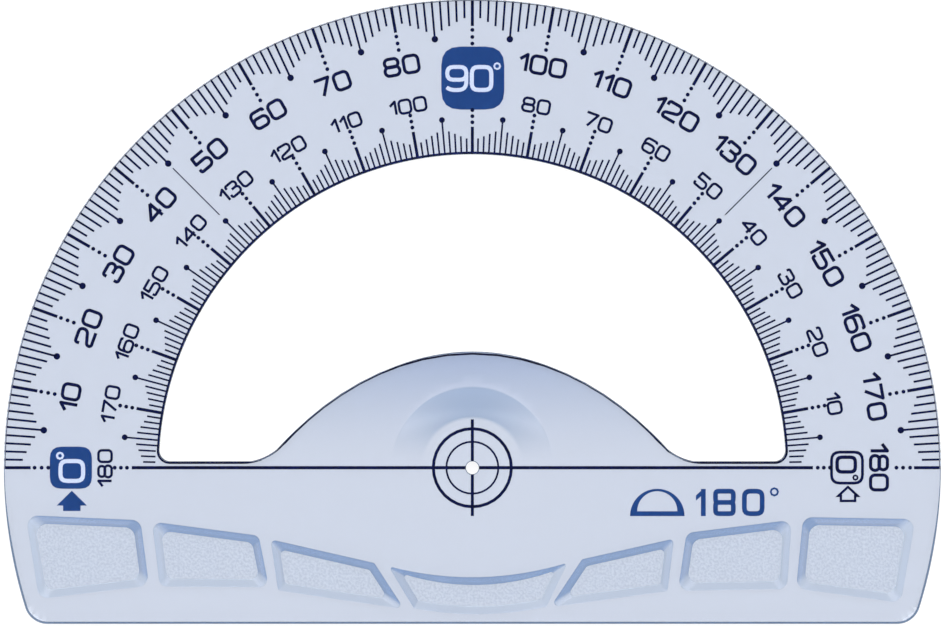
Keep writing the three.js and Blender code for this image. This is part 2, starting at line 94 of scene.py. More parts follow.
EDGE_ROUND = 0.3                  # on the edges that fingers touch
SCALE_ROUND = 0.1                 # along the two graduated edges
UNDER_ROUND = 0.08
EDGE_CHANGE = 12                  # depth below the zero line over which the outer rounding grows

# Corners of the grip recesses at the upper face, top left, top right, bottom right and bottom left,
# and the radius that rounds them.
GRIPS = [
    ([(-57.2, -6.05), (-42.5, -6.7), (-41.4, -15.1), (-55.5, -16.8)], 1.3),
    ([(-41.03, -6.88), (-27.35, -8.68), (-26.05, -15.3), (-40.03, -15.2)], 1.0),
    ([(-25.85, -9.15), (-12.55, -12.18), (-8.7, -18.1), (-24.9, -15.7)], 0.5),
    ([(14.05, -11.7), (25.85, -9.05), (25.0, -15.8), (9.95, -17.85)], 0.5),
    ([(27.42, -8.32), (40.9, -6.65), (40.3, -15.53), (26.32, -15.75)], 1.2),
    ([(42.35, -6.3), (56.75, -6.55), (54.85, -17.3), (41.45, -15.45)], 1.3),
]
MIDDLE_GRIP = [(-10.75, -12.6), (12.2, -12.15), (9.5, -17.8), (-7.5, -18.0)]
MIDDLE_CORNER = 0.25
MIDDLE_TOP_SAG = 3.25
MIDDLE_BOTTOM_SAG = 1.7

# Steps in each kind of curve.
OUTER_STEPS = 214
WINDOW_STEPS = 174
CORNER_STEPS = 14
FILLET_STEPS = 12
CROWN_STEPS = 26
CIRCLE_STEPS = 72
GRIP_STEPS = 8
SAG_STEPS = (10, 12)              # in the middle recess's lower and upper side
ROUNDING_STEPS = 5
RAMP_STEPS = 12                   # up the dish's wall

face_bottom = ink_top + INK_GAP
face_top = ink_top + BODY


# ---- outlines: lists of (point, direction out of the material) ----

def polar(radius, angle):
    return radius * Vector((math.cos(angle), math.sin(angle)))


def arc(centre, radius, start, end, steps, outward=1):
    """Outward is 1 where the material is inside the circle, and -1 where it is outside."""
    made = []
    for i in range(steps + 1):
        angle = start + (end - start) * i / steps
        direction = Vector((math.cos(angle), math.sin(angle)))
        made.append((Vector(centre) + radius * direction, outward * direction))
    return made


def bezier(points, steps):
    """A cubic curve, with the material on the right of its direction of travel."""
    a, b, c, d = (Vector(p) for p in points)
    made = []
    for i in range(steps + 1):
        t = i / steps
        s = 1 - t
        point = s**3 * a + 3 * s * s * t * b + 3 * s * t * t * c + t**3 * d
        travel = s * s * (b - a) + 2 * s * t * (c - b) + t * t * (d - c)
        made.append((point, Vector((-travel.y, travel.x)).normalized()))
    return made


def closed(outline):
    """Leaves out each point that repeats the one before it."""
    kept = []
    for point, direction in outline:
        if not kept or (point - kept[-1][0]).length > 1e-3:
            kept.append((point, direction))
    if (kept[0][0] - kept[-1][0]).length <= 1e-3:
        kept.pop()
    return kept


def plate_outline():
    centre_radius = outer_radius - CORNER_RADIUS
    corner_y = -STRIP_DEPTH + CORNER_RADIUS
    corner_x = math.sqrt(centre_radius**2 - corner_y**2)
    turn = math.atan2(corner_y, corner_x)
    quarter = math.pi / 2
    return closed(
        arc((0, 0), outer_radius, turn, math.pi - turn, OUTER_STEPS)
        + arc((-corner_x, corner_y), CORNER_RADIUS, math.pi - turn, 3 * quarter, CORNER_STEPS)
        + arc((corner_x, corner_y), CORNER_RADIUS, 3 * quarter, 4 * quarter + turn, CORNER_STEPS)
    )


def window_outline():
    """Anticlockwise: the arc, the left corner, over the finger rest, and the right corner."""
    corner_y = WINDOW_FLOOR + WINDOW_FILLET
    turn = math.asin(corner_y / (WINDOW_RADIUS - WINDOW_FILLET))
    corner_x = corner_y / math.tan(turn)
    foot_y = WINDOW_FLOOR + HILL_FILLET
    down = 1.5 * math.pi
    foot_turn = down - HILL_SLOPE
    foot_end = Vector((HILL_FILLET_X, foot_y)) + polar(HILL_FILLET, foot_turn)
    pull = HILL_FOOT_PULL * Vector((math.cos(HILL_SLOPE), -math.sin(HILL_SLOPE)))
    crown = (0, HILL_HEIGHT)
    right_handles = [(HILL_CROWN_PULL, HILL_HEIGHT), foot_end - pull, foot_end]
    left_handles = [(-foot_end.x, foot_end.y), (-foot_end.x + pull.x, foot_end.y - pull.y)]
    return closed(
        arc((0, 0), WINDOW_RADIUS, turn, math.pi - turn, WINDOW_STEPS, -1)
        + arc((-corner_x, corner_y), WINDOW_FILLET, math.pi - turn, down, FILLET_STEPS, -1)
        + arc((-HILL_FILLET_X, foot_y), HILL_FILLET, down, down + HILL_SLOPE, FILLET_STEPS, -1)
        + bezier([*left_handles, (-HILL_CROWN_PULL, HILL_HEIGHT), crown], CROWN_STEPS)
        + bezier([crown, *right_handles], CROWN_STEPS)
        + arc((HILL_FILLET_X, foot_y), HILL_FILLET, foot_turn, down, FILLET_STEPS, -1)
        + arc((corner_x, corner_y), WINDOW_FILLET, down, 2 * math.pi + turn, FILLET_STEPS, -1)
    )


def circle_outline(radius, outward=1):
    return closed(arc((0, 0), radius, 0, 2 * math.pi, CIRCLE_STEPS, outward))


SOFT_TURN = math.radians(20)


def softened(corners, radius):
    """An anticlockwise closed outline. Corners that turn by more than SOFT_TURN are rounded."""
    made = []
    for i, corner in enumerate(corners):
        before = (corner - corners[i - 1]).normalized()
        after = (corners[(i + 1) % len(corners)] - corner).normalized()
        turn = -before.angle_signed(after)
        if abs(turn) < SOFT_TURN:
            travel = (before + after).normalized()
            made.append((corner, Vector((travel.y, -travel.x))))
            continue
        back = radius * math.tan(abs(turn) / 2)
        start_out = Vector((before.y, -before.x))
        centre = corner - back * before - radius * start_out
        start = math.atan2(start_out.y, start_out.x)
        made += arc(centre, radius, start, start + turn, GRIP_STEPS)
    return made


def shrink(corners, distance):
    """Moves the sides of an anticlockwise polygon inwards."""
    made = []
    for i, corner in enumerate(corners):
        before = (corner - corners[i - 1]).normalized()
        after = (corners[(i + 1) % len(corners)] - corner).normalized()
        made.append(corner + (after - before) * distance / abs(before.cross(after)))
    return made


def sagging(start, end, sag, steps):
    """Points of a shallow curve below the line from start to end, without its ends."""
    middle = (start + end) / 2 - Vector((0, sag))
    made = []
    for i in range(1, steps):
        t = i / steps
        made.append((1 - t) ** 2 * start + 2 * t * (1 - t) * middle + t * t * end)
    return made


def grip_outlines(inset):
    """The outline of each recess, a distance inside its edge at the upper face."""
    made = []
    for corners, radius in GRIPS:
        made.append(softened(shrink([Vector(c) for c in reversed(corners)], inset), radius))
    low_left, low_right, top_right, top_left = shrink([Vector(c) for c in reversed(MIDDLE_GRIP)], inset)
    low_steps, top_steps = SAG_STEPS
    middle = [low_left, *sagging(low_left, low_right, MIDDLE_BOTTOM_SAG, low_steps), low_right]
    middle += [top_right, *sagging(top_right, top_left, MIDDLE_TOP_SAG, top_steps), top_left]
    made.append(softened(middle, MIDDLE_CORNER))
    return made


# ---- a mesh built from loops of points ----

class Shell:
    def __init__(self):
        self.points = []
        self.shades = {}
        self.faces = []
        self.materials = []

    def add(self, x, y, z):
        self.points.append((x, y, z))
        return len(self.points) - 1

    def loop(self, outline, inset, height):
        """A loop moved into the material. Inset is a function of the outline's point, and height of that
        point and the moved one."""
        made = []
        for point, direction in outline:
            moved = point - direction * inset(point)
            made.append(self.add(moved.x, moved.y, height(point, moved)))
        return made

    def face(self, corners, material=0):
        self.faces.append(corners)
        self.materials.append(material)

    def bridge(self, one, other, material=0):
        for i in range(len(one)):
            k = (i + 1) % len(one)
            self.face([one[i], one[k], other[k], other[i]], material)

    def fill(self, boundary, holes=(), extra=(), height=None, material=0):
        """Triangles between a loop and the loops inside it. Extra points get their height from height."""
        loops = [boundary, *holes]
        known = [i for loop in loops for i in loop]
        flat = [Vector(self.points[i][:2]) for i in known] + [Vector(p) for p in extra]
        faces, start = [], 0
        for loop in loops:
            faces.append(list(range(start, start + len(loop))))
            start += len(loop)
        places, _, triangles, sources, _, owners = delaunay_2d_cdt(flat, [], faces, 0, 1e-6, True)
        index = []
        for place, source in zip(places, sources):
            if source[0] < len(known):
                index.append(known[source[0]])
            else:
                index.append(self.add(place.x, place.y, height(place)))
        for triangle, owner in zip(triangles, owners):
            if owner == [0]:
                self.face([index[i] for i in triangle], material)

    def to_object(self, name, materials, smooth):
        mesh = bpy.data.meshes.new(name)
        metres = [(x * MM, (y + pin_y) * MM, z * MM) for x, y, z in self.points]
        mesh.from_pydata(metres, [], self.faces)
        for polygon, material in zip(mesh.polygons, self.materials):
            polygon.material_index = material
            polygon.use_smooth = smooth
        for material in materials:
            mesh.materials.append(material)
        if self.shades:
            shade = mesh.attributes.new("shade", "FLOAT", "POINT")
            for i, value in self.shades.items():
                shade.data[i].value = value
        work = bmesh.new()
        work.from_mesh(mesh)
        bmesh.ops.recalc_face_normals(work, faces=work.faces)
        work.to_mesh(mesh)
        work.free()
        thing = bpy.data.objects.new(name, mesh)
        bpy.context.scene.collection.objects.link(thing)
        return thing


def ease(value, low, high):
    """0 below low, 1 above high, and smooth between them."""
    t = min(max((value - low) / (high - low), 0), 1)
    return t * t * (3 - 2 * t)


# ---- materials ----

SPAN_INPUTS = ("From Min", "From Max", "To Min", "To Max")
MIX_FIRST, MIX_SECOND = 6, 7      # a Mix node's colour inputs, whose names its other inputs share
MIX_RESULT = 2
NOISE_SPAN = (0.3, 0.7)           # where most of a noise's values lie


class Nodes:
    """A material's node tree, with short ways to add nodes."""

    def __init__(self, name):
        self.material = bpy.data.materials.new(name)
        self.material.use_nodes = True
        self.tree = self.material.node_tree
        self.shader = self.tree.nodes["Principled BSDF"]
        self.output = self.tree.nodes["Material Output"]

    def add(self, kind, **settings):
        node = self.tree.nodes.new(kind)
        for key, value in settings.items():
            setattr(node, key, value)
        return node

    def link(self, source, target):
        self.tree.links.new(source, target)

    def position(self):
        """Object coordinates: metres in the shared frame."""
        return self.add("ShaderNodeTexCoord").outputs["Object"]

    def noise(self, scale, detail=2.0):
        node = self.add("ShaderNodeTexNoise")
        node.inputs["Scale"].default_value = scale
        node.inputs["Detail"].default_value = detail
        self.link(self.position(), node.inputs["Vector"])
        return node.outputs["Fac"]

    def math(self, operation, *values):
        node = self.add("ShaderNodeMath", operation=operation)
        for i, value in enumerate(values):
            if isinstance(value, (int, float)):
                node.inputs[i].default_value = value
            else:
                self.link(value, node.inputs[i])
        return node.outputs[0]

    def span(self, value, low, high, out_low=0.0, out_high=1.0, smooth=False):
        """Out_low below low, out_high above high, and in between a straight or smooth change."""
        node = self.add("ShaderNodeMapRange")
        node.interpolation_type = "SMOOTHSTEP" if smooth else "LINEAR"
        self.link(value, node.inputs["Value"])
        for key, number in zip(SPAN_INPUTS, (low, high, out_low, out_high)):
            node.inputs[key].default_value = number
        return node.outputs["Result"]

    def mix(self, factor, one, other):
        """From one, a colour or a node's output, to the other colour."""
        node = self.add("ShaderNodeMix", data_type="RGBA")
        self.link(factor, node.inputs["Factor"])
        if isinstance(one, tuple):
            node.inputs[MIX_FIRST].default_value = (*one, 1)
        else:
            self.link(one, node.inputs[MIX_FIRST])
        node.inputs[MIX_SECOND].default_value = (*other, 1)
        return node.outputs[MIX_RESULT]

    def bump(self, height, distance):
        node = self.add("ShaderNodeBump")
        node.inputs["Strength"].default_value = 1.0
        node.inputs["Distance"].default_value = distance
        self.link(height, node.inputs["Height"])
        self.link(node.outputs["Normal"], self.shader.inputs["Normal"])


PLASTIC_IOR = 1.49
TINT_COLOUR = (0.164, 0.364, 0.645)
TINT_DENSITY = 110
CLEAR = (0.743, 0.768, 0.834)
CROWN_PAINTED_SHADE = (0.497, 0.563, 0.715)      # painted shade, darkest at the finger rest's crown
DISH_SHADE = (0.428, 0.512, 0.655)
WALL_LIGHT = (0.510, 0.592, 0.715)
WALL_DARK = (0.104, 0.192, 0.405)
EDGE_DARK = (0.034, 0.068, 0.140)
GRAIN_LIGHT = (0.580, 0.652, 0.775)
GRAIN_DARK = (0.417, 0.482, 0.605)

CROWN_SHADE_POWER = 2.0                  # the painted shade comes in slowly, then fast towards the crown
CROWN_SHADE_RADII = (31, 36)             # it ends between these, before the graduated ring
CROWN_SHADE_START = 1.0                  # and it comes in over this width round the dish's floor
DISH_NORTH = (0.05, 1.0)          # sine of the direction from the pin hole: no shade, and all of it
DISH_POWER = 1.6
INNER_RIM = (-0.3, 0.4)           # where the shade starts, from the dish's floor radius
OUTER_RIM = (-0.2, 0)             # and where it ends, from the dish's lip radius
CLEAR_ROUGHNESS = (0.025, 0.06)
GRAIN_SPAN = (0.38, 0.62)         # of the noise, from the dark to the light colour


def tint(nodes):
    """The plastic's own colour, which deepens with its thickness."""
    volume = nodes.add("ShaderNodeVolumeAbsorption")
    volume.inputs["Color"].default_value = (*TINT_COLOUR, 1)
    volume.inputs["Density"].default_value = TINT_DENSITY
    nodes.link(volume.outputs[0], nodes.output.inputs["Volume"])


def plastic(nodes, roughness):
    shader = nodes.shader
    shader.inputs["Transmission Weight"].default_value = 1.0
    shader.inputs["IOR"].default_value = PLASTIC_IOR
    shader.inputs["Roughness"].default_value = roughness
    tint(nodes)


def millimetres(base, offsets):
    """Metres for a pair of offsets in millimetres from a base."""
    return [(base + offset) * MM for offset in offsets]


def clear_plastic():
    """Painted shade: darker towards the finger rest's crown, and on the north wall of its dish."""
    nodes = Nodes("clear_plastic")
    plastic(nodes, 0.04)
    split = nodes.add("ShaderNodeSeparateXYZ")
    nodes.link(nodes.position(), split.inputs[0])
    across = split.outputs["X"]
    above = nodes.math("SUBTRACT", split.outputs["Y"], pin_y * MM)
    radius = nodes.math("SQRT", nodes.math("ADD", nodes.math("MULTIPLY", across, across),
                                           nodes.math("MULTIPLY", above, above)))

    climb = nodes.math("POWER", nodes.span(above, 0.0, HILL_HEIGHT * MM), CROWN_SHADE_POWER)
    on_hill = nodes.span(radius, *millimetres(0, CROWN_SHADE_RADII), 1, 0, smooth=True)
    past_dish = nodes.span(radius, *millimetres(DISH_FLOOR_RADIUS, (0, CROWN_SHADE_START)), smooth=True)
    # depth here is how much painted shade the finger rest gets towards its crown
    depth = nodes.math("MULTIPLY", nodes.math("MULTIPLY", climb, on_hill), past_dish)

    north = nodes.math("POWER", nodes.span(nodes.math("DIVIDE", above, radius), *DISH_NORTH), DISH_POWER)
    inner_rim = nodes.span(radius, *millimetres(DISH_FLOOR_RADIUS, INNER_RIM), smooth=True)
    outer_rim = nodes.span(radius, *millimetres(DISH_LIP_RADIUS, OUTER_RIM), 1, 0, smooth=True)
    dish_wall = nodes.math("MULTIPLY", north, nodes.math("MULTIPLY", inner_rim, outer_rim))

    # both painted shades, towards the crown and on the dish's north wall, go into the base colour
    colour = nodes.mix(dish_wall, nodes.mix(depth, CLEAR, CROWN_PAINTED_SHADE), DISH_SHADE)
    nodes.link(colour, nodes.shader.inputs["Base Color"])
    roughness = nodes.span(nodes.noise(900), *NOISE_SPAN, *CLEAR_ROUGHNESS)
    nodes.link(roughness, nodes.shader.inputs["Roughness"])
    nodes.bump(nodes.noise(140), 0.000004)
    return nodes.material


def wall_plastic():
    """Its colour goes from light to dark as shade goes from 0 to 1, and on to EDGE_DARK at 2."""
    nodes = Nodes("recess_wall_plastic")
    plastic(nodes, 0.12)
    shade = nodes.add("ShaderNodeAttribute", attribute_name="shade").outputs["Fac"]
    wall = nodes.mix(shade, WALL_LIGHT, WALL_DARK)
    colour = nodes.mix(nodes.math("SUBTRACT", shade, 1.0), wall, EDGE_DARK)
    nodes.link(colour, nodes.shader.inputs["Base Color"])
    nodes.bump(nodes.noise(2500), 0.00001)
    return nodes.material


def grained_plastic():
    nodes = Nodes("grained_plastic")
    plastic(nodes, 0.35)
    grain = nodes.noise(3200, 3.0)
    nodes.link(nodes.mix(nodes.span(grain, *GRAIN_SPAN), GRAIN_DARK, GRAIN_LIGHT),
               nodes.shader.inputs["Base Color"])
    nodes.bump(grain, 0.00006)
    return nodes.material


INK_SPECULAR = 0.03               # the film lies against the plastic, so it has little gloss of its own
INK_SPREAD = 0.06                 # of its roughness, each way


def ink(name, one, other, roughness=0.42):
    """A film that varies a little between two colours."""
    nodes = Nodes(name)
    nodes.link(nodes.mix(nodes.noise(1200, 3.0), one, other), nodes.shader.inputs["Base Color"])
    spread = (roughness - INK_SPREAD, roughness + INK_SPREAD)
    nodes.link(nodes.span(nodes.noise(3000), *NOISE_SPAN, *spread), nodes.shader.inputs["Roughness"])
    nodes.bump(nodes.noise(6000), 0.000002)
    nodes.shader.inputs["Specular IOR Level"].default_value = INK_SPECULAR
    return nodes.material


CLEAR_PLASTIC = clear_plastic()
WALL_PLASTIC = wall_plastic()
GRAINED_PLASTIC = grained_plastic()
NAVY_INK = ink("navy_ink", (0.0006, 0.0036, 0.0400), (0.0012, 0.0070, 0.0620))
BLUE_INK = ink("blue_ink", (0.0175, 0.0680, 0.216), (0.0255, 0.0870, 0.254))
WHITE_INK = ink("white_ink", (0.97, 0.955, 0.935), (1.0, 0.985, 0.965), 0.5)
INKS = {"navy_ink": NAVY_INK, "blue_ink": BLUE_INK, "white_ink": WHITE_INK}


# ---- the plate ----

SHADE_CENTRE = Vector((0, 60))    # a recess is darkest on the side nearest to this place
SHADE_LEAST = 0.1
SHADE_INWARDS = 0.45              # added to walls that face left or right, most near the plate's middle
SHADE_REACH = 57                  # and nothing from here on
SHADE_RIGHT = (11, 25)            # right of the middle, right-hand walls get it only from here on
RIM_SHADE = 0.22                  # added along the foot and the lip of a wall
RIM_LEAST = 0.3                   # share of it that the lightest walls get
LIP_SHADE = 0.15                  # added at the lip of a dark wall
EDGE_SHADE = 2.0                  # from 1 to 2 the walls' colour goes on to EDGE_DARK
EDGE_START = 0.5                  # the outer edge's shade comes in within this of the zero line
SHADE_FADE = 0.06                 # the shaded rounding fades into the side over this height

WALLS, GRIP_FLOORS = 1, 2         # material slots of the plate, after the clear plastic's 0


def hill(point):
    """How far the finger rest's face stands above the plate's."""
    if point.y <= 0 or point.length > HILL_RADIUS:
        return 0.0
    fade = 1 - ease(abs(point.x), *HILL_ENDS)
    return HILL_RISE * fade * (point.y / HILL_HEIGHT) ** HILL_POWER


def upper_face(point):
    """Height of the upper face, without the recesses."""
    ramp = (point.length - DISH_FLOOR_RADIUS) / (DISH_LIP_RADIUS - DISH_FLOOR_RADIUS)
    ramp = min(max(ramp, 0), 1)
    return face_top + hill(point) * ramp - DISH_DEPTH * (1 - ramp)


def rounded_edge(shell, outline, radius_at, shade_at):
    """From the upper face, round the edge, down the side and round to the underside. Radius_at and
    shade_at give the rounding and its shade at a point. Returns the first and the last loop."""
    loops = []
    for i in range(ROUNDING_STEPS + 1):
        turn = math.pi / 2 * (1 - i / ROUNDING_STEPS)
        inset = lambda p, turn=turn: radius_at(p) * (1 - math.cos(turn))
        drop = lambda p, moved, turn=turn: upper_face(p) - radius_at(p) * (1 - math.sin(turn))
        loops.append(shell.loop(outline, inset, drop))
    for loop in loops:
        for i, (point, _) in zip(loop, outline):
            shell.shades[i] = shade_at(point)
    faded = lambda p, moved: upper_face(p) - radius_at(p) - SHADE_FADE
    loops.append(shell.loop(outline, lambda p: 0, faded))
    for turn in (0, math.pi / 4, math.pi / 2):
        inset = lambda p, turn=turn: UNDER_ROUND * (1 - math.cos(turn))
        drop = lambda p, moved, turn=turn: face_bottom + UNDER_ROUND * (1 - math.sin(turn))
        loops.append(shell.loop(outline, inset, drop))
    for one, other in zip(loops, loops[1:]):
        shell.bridge(one, other, WALLS)
    return loops[0], loops[-1]


def recess_profile():
    """Pairs of (share of the wall's width from the floor, share of the depth below the face)."""
    slope = 1 / (1 - GRIP_BEND)
    foot = []
    steps = 3
    for i in range(steps + 1):
        t = GRIP_BEND * i / steps
        foot.append((t, 1 - slope * t * t / (2 * GRIP_BEND)))
    straight = [(t, 1 - slope * (t - GRIP_BEND / 2)) for t in (0.25, 0.5, 0.75)]
    lip = [(1 - t, 1 - d) for t, d in reversed(foot)]
    return foot + straight + lip


def wall_shade(point, direction):
    """How dark a recess's wall looks, from 0 to a little over 1. Direction points out of the recess."""
    to_centre = (SHADE_CENTRE - point).normalized()
    inwards = abs(direction.x) * max(0, 1 - abs(point.x) / SHADE_REACH)
    if direction.x > 0 and point.x > 0:
        inwards *= ease(point.x, *SHADE_RIGHT)
    return SHADE_LEAST + (1 - SHADE_LEAST) * max(0, direction.dot(to_centre)) + SHADE_INWARDS * inwards


def sink_recesses(shell):
    """The floors and sloping walls of the recesses. Returns each one's loop at the upper face."""
    profile = recess_profile()
    levels = [grip_outlines(GRIP_WALL * (1 - share)) for share, _ in profile]
    rims = []
    for outlines in zip(*levels):
        loops = []
        for outline, (share, depth) in zip(outlines, profile):
            height = face_top - GRIP_DEPTH * depth
            loop = shell.loop(outline, lambda p: 0, lambda p, moved, z=height: z)
            rim = RIM_SHADE * (2 * share - 1) ** 4
            for i, (point, direction) in zip(loop, outline):
                shade = min(1, wall_shade(point, direction))
                lip = LIP_SHADE * (share * shade) ** 2
                shell.shades[i] = shade + rim * (RIM_LEAST + (1 - RIM_LEAST) * shade) + lip
            loops.append(loop)
        shell.fill(loops[0], material=GRIP_FLOORS)
        for one, other in zip(loops, loops[1:]):
            shell.bridge(one, other, WALLS)
        rims.append(loops[-1])
    return rims


GRID_COLUMN = 1.0                 # between the points that carry the finger rest's curve
GRID_ROW = 1.1
GRID_STAGGER = 0.25               # every other row stands this much to the right
GRID_COLUMNS = 26                 # on each side of the middle
GRID_ROWS = 12
EDGE_CLEARANCE = 0.8              # of a point from the window's edge
CROWN_CLEARANCE = 0.9             # and straight below it
DISH_CLEARANCE = 0.6
RING_REACH = 5                    # nearer to the window's arc, its outline isn't the finger rest's edge


def hill_grid(window):
    """Points spread over the finger rest, clear of its edge and of the dish."""
    top = [p for p, _ in window
           if p.y > HILL_START and abs(p.x) < HILL_FILLET_X and p.length < WINDOW_RADIUS - RING_REACH]
    top.sort(key=lambda p: p.x)
    made = []
    for row in range(1, GRID_ROWS + 1):
        for column in range(-GRID_COLUMNS, GRID_COLUMNS + 1):
            x = column * GRID_COLUMN + GRID_STAGGER * (row % 2)
            y = row * GRID_ROW
            point = Vector((x, y))
            nearest = min((p - point).length for p in top)
            ceiling = min(top, key=lambda p: abs(p.x - x)).y
            off_edge = y < ceiling - CROWN_CLEARANCE and nearest > EDGE_CLEARANCE
            if off_edge and point.length > DISH_LIP_RADIUS + DISH_CLEARANCE:
                made.append(point)
    return made


def make_plate():
    shell = Shell()
    outline, window = plate_outline(), window_outline()
    pin_hole = circle_outline(PIN_HOLE_RADIUS, -1)

    def outer_edge(p):
        return SCALE_ROUND + (EDGE_ROUND - SCALE_ROUND) * ease(-p.y, 0, EDGE_CHANGE)

    def outer_shade(p):
        return EDGE_SHADE * ease(-p.y, -EDGE_START, EDGE_START)

    outer_top, outer_low = rounded_edge(shell, outline, outer_edge, outer_shade)
    window_top, window_low = rounded_edge(shell, window, lambda p: SCALE_ROUND, lambda p: EDGE_SHADE)
    hole_top, hole_low = rounded_edge(shell, pin_hole, lambda p: SCALE_ROUND, lambda p: EDGE_SHADE)

    rings = []
    for i in range(RAMP_STEPS + 1):
        radius = DISH_FLOOR_RADIUS + (DISH_LIP_RADIUS - DISH_FLOOR_RADIUS) * i / RAMP_STEPS
        ring = circle_outline(radius)
        rings.append(shell.loop(ring, lambda p: 0, lambda p, moved: upper_face(p)))
    shell.bridge(hole_top, rings[0])
    for one, other in zip(rings, rings[1:]):
        shell.bridge(one, other)

    shell.fill(outer_top, [window_top, rings[-1], *sink_recesses(shell)], hill_grid(window), upper_face)
    shell.fill(outer_low, [window_low, hole_low])
    plate = shell.to_object("clear_plate", [CLEAR_PLASTIC, WALL_PLASTIC, GRAINED_PLASTIC], smooth=True)
    flatten = plate.modifiers.new("flat_faces", "WEIGHTED_NORMAL")
    flatten.keep_sharp = False
    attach(plate, "root")
    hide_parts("plate")


# ---- printed figures ----

BEND_SHARE = 0.49                 # of a straight piece that the bend at one end may take
BEND_STEP = math.radians(12)
DISC_STEPS = 24
STROKE_END_STEPS = 12             # round a sharp corner or the end of a stroke beside it


def rotated(arm, cos, sin):
    return Vector((arm.x * cos - arm.y * sin, arm.x * sin + arm.y * cos))


def rounded_line(points, radius, is_closed):
    """A line's points with each corner rounded off."""
    corners = [Vector(p) for p in points]
    made = []
    for i, corner in enumerate(corners):
        if not is_closed and i in (0, len(corners) - 1):
            made.append(corner)
            continue
        before = corner - corners[i - 1]
        after = corners[(i + 1) % len(corners)] - corner
        turn = -before.angle_signed(after)
        opening = math.tan(abs(turn) / 2)
        reach = min(radius * opening, before.length * BEND_SHARE, after.length * BEND_SHARE)
        start = corner - before.normalized() * reach
        side = Vector((-before.y, before.x)).normalized() * math.copysign(reach / opening, turn)
        centre = start + side
        steps = max(2, math.ceil(abs(turn) / BEND_STEP))
        for k in range(steps + 1):
            angle = turn * k / steps
            made.append(centre + rotated(start - centre, math.cos(angle), math.sin(angle)))
    return made


def bends(path, radius):
    """Splits a line at its sharp corners and rounds the others. Gives a list of lines."""
    parts, part = [], [path[0]]
    for p in path[1:]:
        part.append(p)
        if len(p) > 2 and p is not path[-1]:
            parts.append(part)
            part = [p]
    parts.append(part)
    return [rounded_line([q[:2] for q in part], radius, False) for part in parts]


def ribbon(points, width, is_closed):
    """The outline of a line with a width, as (outer loop, inner loops)."""
    left, right = [], []
    count = len(points)
    for i, point in enumerate(points):
        before = points[i - 1] if is_closed or i > 0 else point
        after = points[(i + 1) % count] if is_closed or i < count - 1 else point
        travel = (after - before).normalized()
        side = Vector((-travel.y, travel.x)) * width / 2
        left.append(point + side)
        right.append(point - side)
    if is_closed:
        return right, [left]
    return right + left[::-1], []


# Centre lines of the figures, in a box from 0,0 to 1,1. SHARP marks the corners that aren't rounded off.
# There is no 9, because the CAD's own films hold the only one.
SHARP = "sharp"
FIGURES = {
    "0": [("closed", [(0, 0), (1, 0), (1, 1), (0, 1)])],
    "1": [("open", [(0, 0.68), (1, 1, SHARP), (1, 0)])],
    "2": [("open", [(0, 0.74), (0, 1), (1, 1), (1, 0.52), (0, 0.28), (0, 0), (1, 0)])],
    "3": [("open", [(0, 0.76), (0, 1), (0.96, 1), (0.96, 0.53), (0.34, 0.53)]),
          ("open", [(0.34, 0.53), (1, 0.53), (1, 0), (0, 0), (0, 0.26)])],
    "4": [("open", [(1, 0.3), (0, 0.3, SHARP), (0.8, 1)]), ("open", [(0.8, 1.03), (0.8, 0)])],
    "5": [("open", [(0.97, 1), (0.03, 1, SHARP), (0, 0.56, SHARP),
                    (1, 0.56), (1, 0), (0, 0), (0, 0.22)])],
    "6": [("closed", [(0, 0), (1, 0), (1, 0.59), (0, 0.59)]),
          ("open", [(0, 0.35), (0, 1), (0.97, 1), (0.97, 0.84)])],
    "7": [("open", [(0, 1), (1, 1, SHARP), (0.34, 0)])],
    "8": [("closed", [(0, 0), (1, 0), (1, 0.53), (0, 0.53)]),
          ("closed", [(0.04, 0.50), (0.96, 0.50), (0.96, 1), (0.04, 1)])],
}

# Shares of a figure's height.
ONE_WIDTH = 0.51
FIGURE_WIDTH = 0.9
FIGURE_GAP = 0.07
ONE_LEAD = 0.04                   # a number that starts with 1 stands this much further left
STROKE = 0.165
FIGURE_BEND = 0.22


def figure_shapes(text, height):
    """Shapes for a number whose middle is at 0,0 and whose top points along +Y."""
    line = STROKE * height
    widths = [(ONE_WIDTH if c == "1" else FIGURE_WIDTH) * height for c in text]
    gap = FIGURE_GAP * height
    x = -(sum(widths) + gap * (len(text) - 1)) / 2
    if text[0] == "1":
        x -= ONE_LEAD * height
    shapes = []
    for character, width in zip(text, widths):
        for form, points in FIGURES[character]:
            placed = []
            for p in points:
                px = x + line / 2 + p[0] * (width - line)
                py = -height / 2 + line / 2 + p[1] * (height - line)
                placed.append((px, py, *p[2:]))
            if form == "closed":
                shapes.append(ribbon(rounded_line(placed, FIGURE_BEND * height, True), line, True))
                continue
            for path in bends(placed, FIGURE_BEND * height):
                shapes.append(ribbon(path, line, False))
            for p in placed:
                if len(p) > 2:
                    shapes.append(disc_shape(Vector(p[:2]), line / 2, STROKE_END_STEPS))
        x += width + gap
    return shapes


def disc_shape(centre, radius, steps=DISC_STEPS):
    return [p for p, _ in closed(arc(centre, radius, 0, 2 * math.pi, steps))], []


def turned(shapes, angle, centre):
    """Turns shapes by an angle and moves them."""
    cos, sin = math.cos(angle), math.sin(angle)

    def move(loop):
        return [rotated(p, cos, sin) + centre for p in loop]

    return [(move(outer), [move(hole) for hole in holes]) for outer, holes in shapes]


def goes_round(loop, point):
    """True if the loop winds round the point."""
    turns = 0
    for a, b in zip(loop, [*loop[1:], loop[0]]):
        if (a.y <= point.y) != (b.y <= point.y):
            across = a.x + (point.y - a.y) * (b.x - a.x) / (b.y - a.y)
            if across > point.x:
                turns += 1 if b.y > a.y else -1
    return turns != 0


def covers(shapes, point):
    return any(goes_round(outer, point) and not any(goes_round(hole, point) for hole in holes)
               for outer, holes in shapes)


